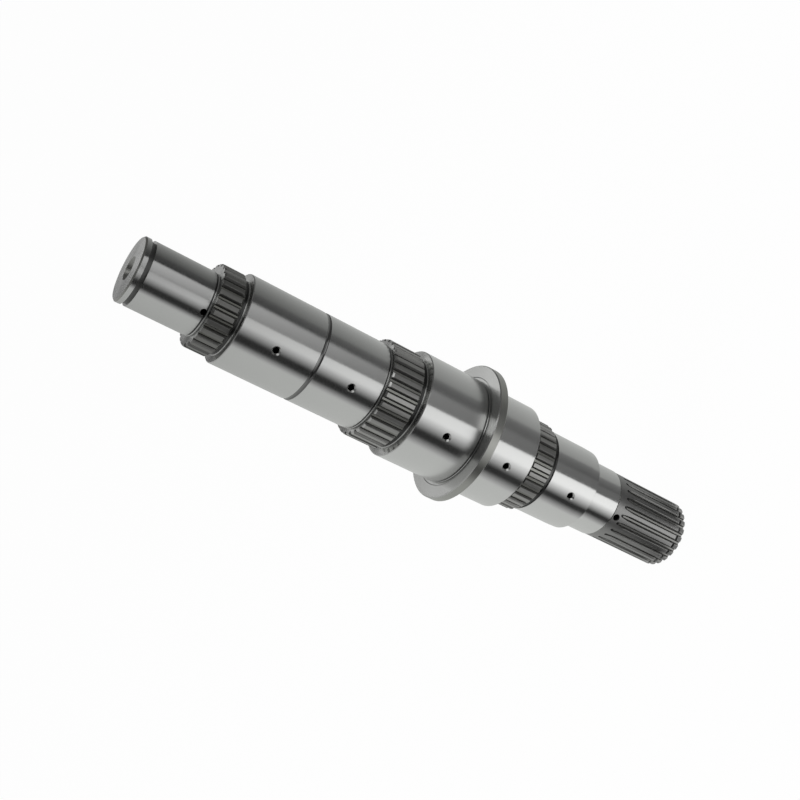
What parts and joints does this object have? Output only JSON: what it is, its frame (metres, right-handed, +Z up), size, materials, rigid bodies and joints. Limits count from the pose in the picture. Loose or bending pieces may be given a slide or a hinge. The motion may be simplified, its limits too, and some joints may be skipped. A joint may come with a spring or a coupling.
{
  "type": "transmission main shaft",
  "caption": "Stepped gearbox main shaft with external splines, ground journals, a thrust collar, ring grooves and radial oil holes.",
  "frame": {"origin": "centre of the output end face, on the shaft's axis", "axes": "+Z up the shaft's axis to the spigot end; the radial oil holes face -Y"},
  "size_m": [0.1174, 0.1174, 0.5272],
  "materials": {
    "steel": "ground and turned bright steel, lightly oiled"
  },
  "bodies": {
    "root": {"main_shaft": "steel"}
  },
  "joints": []
}
